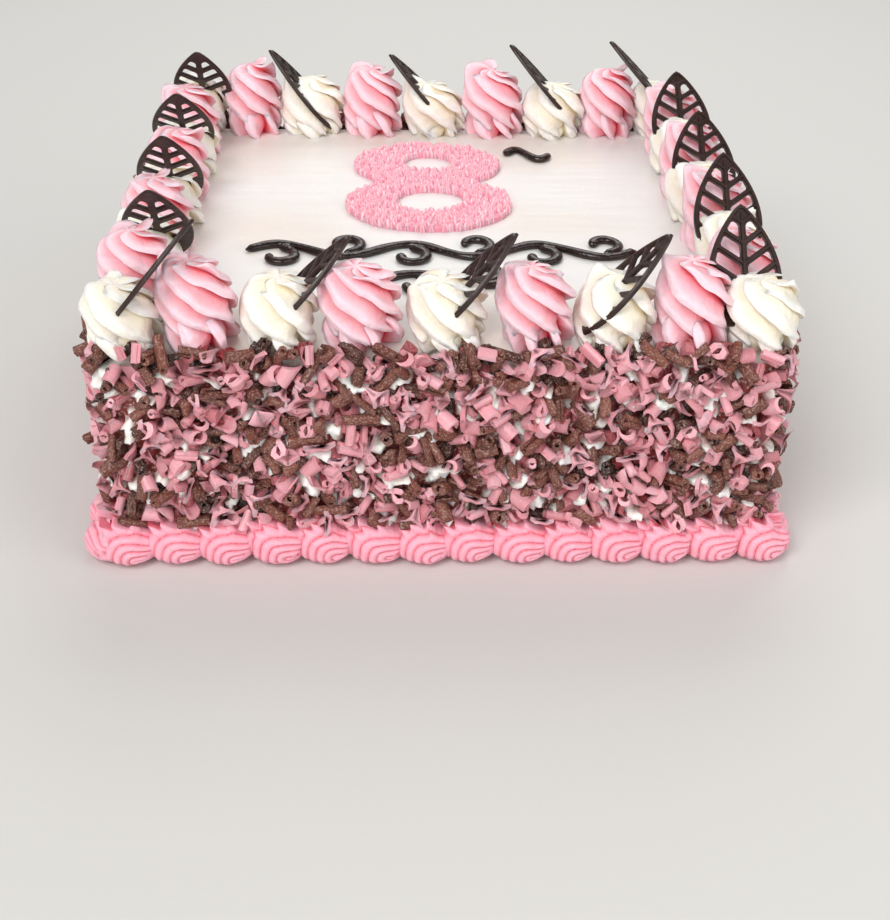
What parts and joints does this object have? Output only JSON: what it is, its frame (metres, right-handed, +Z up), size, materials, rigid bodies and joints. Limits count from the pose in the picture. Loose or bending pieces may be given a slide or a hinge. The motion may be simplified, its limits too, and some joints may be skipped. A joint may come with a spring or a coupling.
{
  "type": "number cake",
  "caption": "Square celebration cake with a smooth cream top, a piped figure eight, a ring of pink and white cream rosettes holding chocolate leaves, and sides coated in chocolate curls.",
  "frame": {"origin": "centre of the cake's underside, on the surface that it rests on", "axes": "+Z up, -Y the front from which the figure eight reads upright, +X to the right seen from the front"},
  "size_m": [0.29, 0.29, 0.1431],
  "materials": {
    "cream_coat": "smooth spread cream on top; sides coated in small curls of milk chocolate and pink chocolate",
    "whipped_cream": "soft satin piped cream",
    "pink_buttercream": "soft satin piped buttercream, pale on the ridges and deeper in the folds",
    "border_buttercream": "satin piped buttercream, slightly deeper pink",
    "numeral_buttercream": "pink buttercream piped in small star-tip strokes",
    "chocolate_leaf": "moulded dark chocolate, satin",
    "piped_chocolate": "glossy piped dark chocolate"
  },
  "bodies": {
    "root": {"cake": "cream_coat", "rosette_white_front_0": "whipped_cream", "rosette_pink_front_1": "pink_buttercream", "rosette_white_front_2": "whipped_cream", "rosette_pink_front_3": "pink_buttercream", "rosette_white_front_4": "whipped_cream", "rosette_pink_front_5": "pink_buttercream", "rosette_white_front_6": "whipped_cream", "rosette_pink_front_7": "pink_buttercream", "rosette_white_right_0": "whipped_cream", "rosette_pink_right_1": "pink_buttercream", "rosette_white_right_2": "whipped_cream", "rosette_pink_right_3": "pink_buttercream", "rosette_white_right_4": "whipped_cream", "rosette_pink_right_5": "pink_buttercream", "rosette_white_right_6": "whipped_cream", "rosette_pink_right_7": "pink_buttercream", "rosette_white_back_0": "whipped_cream", "rosette_pink_back_1": "pink_buttercream", "rosette_white_back_2": "whipped_cream", "rosette_pink_back_3": "pink_buttercream", "rosette_white_back_4": "whipped_cream", "rosette_pink_back_5": "pink_buttercream", "rosette_white_back_6": "whipped_cream", "rosette_pink_back_7": "pink_buttercream", "rosette_white_left_0": "whipped_cream", "rosette_pink_left_1": "pink_buttercream", "rosette_white_left_2": "whipped_cream", "rosette_pink_left_3": "pink_buttercream", "rosette_white_left_4": "whipped_cream", "rosette_pink_left_5": "pink_buttercream", "rosette_white_left_6": "whipped_cream", "rosette_pink_left_7": "pink_buttercream", "leaf_front_0": "chocolate_leaf", "leaf_front_2": "chocolate_leaf", "leaf_front_4": "chocolate_leaf", "leaf_front_6": "chocolate_leaf", "leaf_right_0": "chocolate_leaf", "leaf_right_2": "chocolate_leaf", "leaf_right_4": "chocolate_leaf", "leaf_right_6": "chocolate_leaf", "leaf_back_0": "chocolate_leaf", "leaf_back_2": "chocolate_leaf", "leaf_back_4": "chocolate_leaf", "leaf_back_6": "chocolate_leaf", "leaf_left_0": "chocolate_leaf", "leaf_left_2": "chocolate_leaf", "leaf_left_4": "chocolate_leaf", "leaf_left_6": "chocolate_leaf", "border_front": "border_buttercream", "border_right": "border_buttercream", "border_back": "border_buttercream", "border_left": "border_buttercream", "numeral": "numeral_buttercream", "piped_vine": "piped_chocolate", "piped_vine_lower": "piped_chocolate", "piped_scroll": "piped_chocolate"}
  },
  "joints": []
}
